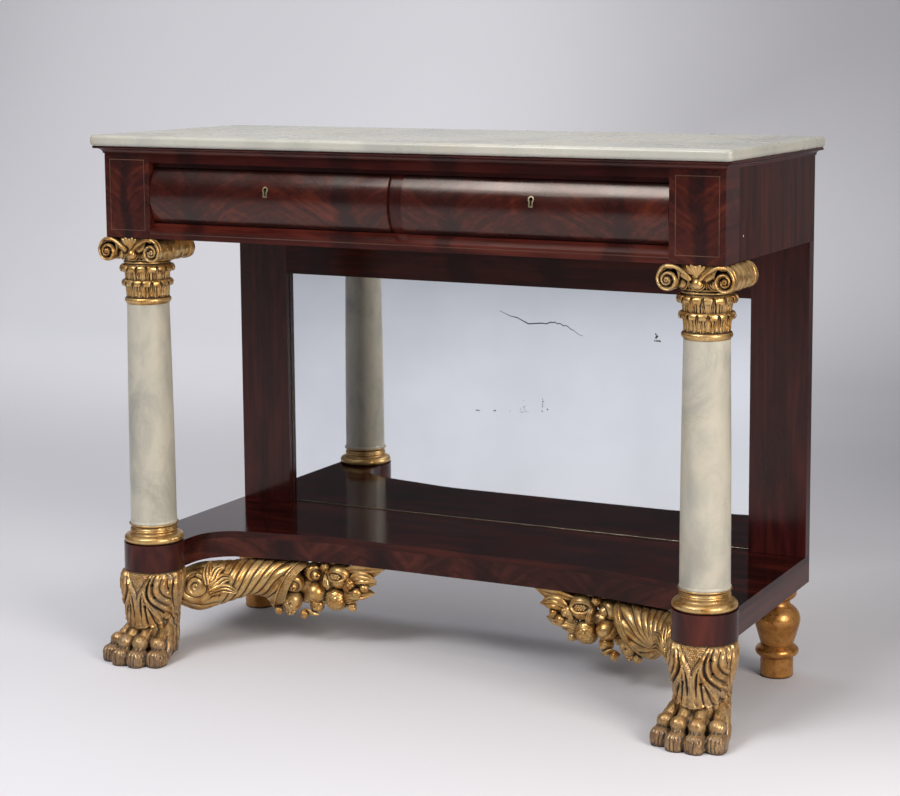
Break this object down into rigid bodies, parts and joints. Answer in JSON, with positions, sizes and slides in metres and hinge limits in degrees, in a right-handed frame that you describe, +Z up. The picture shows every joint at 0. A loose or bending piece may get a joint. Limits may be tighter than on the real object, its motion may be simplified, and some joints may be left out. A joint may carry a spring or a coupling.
{
  "type": "pier table",
  "caption": "Neoclassical pier table with a marble top, drawer frieze, columns with scrolled capitals, concave shelf, mirrored back and carved paw feet with fruit-filled horns.",
  "frame": {"origin": "on the floor, below the middle of the whole object", "axes": "+X to the right seen from the front, +Y to the wall behind, +Z up"},
  "size_m": [1.19, 0.488, 0.94],
  "materials": {
    "marble": "polished, pale grey-cream with soft grey veins",
    "mahogany": "french polished straight-grained mahogany veneer",
    "dark_mahogany": "very dark french polished mahogany",
    "flame_mahogany": "french polished flame mahogany veneer",
    "pine": "bare white pine, planed and aged",
    "poplar": "bare poplar, planed",
    "gilding": "carved wood, water gilt, rubbed and worn",
    "dark_gilding": "carved wood, gilt over dark bole, much rubbed",
    "stringing": "inlaid holly line, varnished",
    "mirror": "old plate mirror with a few spots",
    "brass": "dull brass",
    "iron": "dark forged iron",
    "birch": "bare turned birch"
  },
  "bodies": {
    "table": {"backboard": "pine", "backboard_screws": "iron", "bottom_rail": "mahogany", "capital_bell_left": "gilding", "capital_bell_right": "gilding", "capital_volutes_left": "gilding", "capital_volutes_right": "gilding", "case_back": "pine", "case_end_left": "mahogany", "case_end_right": "mahogany", "column_base_left": "gilding", "column_base_right": "gilding", "column_rods": "iron", "column_shaft_left": "marble", "column_shaft_right": "marble", "corner_block_left": "mahogany", "corner_block_right": "mahogany", "cornice_front": "mahogany", "cornice_left": "mahogany", "cornice_right": "mahogany", "cornucopia_left": "gilding", "cornucopia_right": "gilding", "drawer_divider": "mahogany", "drawer_kickers": "pine", "drawer_runners": "pine", "drawer_stops": "pine", "drum_left": "dark_mahogany", "drum_right": "dark_mahogany", "dust_board": "pine", "foot_dowels": "birch", "marble_bearers": "pine", "marble_top": "marble", "mirror_glass": "mirror", "mirror_rail": "mahogany", "paw_foot_left": "dark_gilding", "paw_foot_right": "dark_gilding", "pilaster_left": "mahogany", "pilaster_right": "mahogany", "rear_foot_left": "dark_mahogany", "rear_foot_right": "dark_mahogany", "shelf_back_rail": "pine", "shelf_blocks": "pine", "shelf_board": "dark_mahogany", "shelf_end_left": "mahogany", "shelf_end_right": "mahogany", "shelf_front_rail": "mahogany", "stringing": "stringing", "top_rail": "mahogany"},
    "drawer_left": {"drawer_front_left": "flame_mahogany", "drawer_box_left": "poplar", "drawer_bottom_left": "poplar", "lock_case_left": "brass", "escutcheon_left": "brass"},
    "lock_bolt_left": {"lock_bolt_left": "brass"},
    "drawer_right": {"drawer_front_right": "flame_mahogany", "drawer_box_right": "poplar", "drawer_bottom_right": "poplar", "lock_case_right": "brass", "escutcheon_right": "brass"},
    "lock_bolt_right": {"lock_bolt_right": "brass"}
  },
  "joints": [
    {"name": "drawer_left_slide", "type": "slide", "parent": "table", "child": "drawer_left", "axis": [0, -1, 0], "range_m": [0, 0.28]},
    {"name": "lock_bolt_left_slide", "type": "slide", "parent": "drawer_left", "child": "lock_bolt_left", "axis": [0, 0, 1], "range_m": [0, 0.007]},
    {"name": "drawer_right_slide", "type": "slide", "parent": "table", "child": "drawer_right", "axis": [0, -1, 0], "range_m": [0, 0.28]},
    {"name": "lock_bolt_right_slide", "type": "slide", "parent": "drawer_right", "child": "lock_bolt_right", "axis": [0, 0, 1], "range_m": [0, 0.007]}
  ]
}
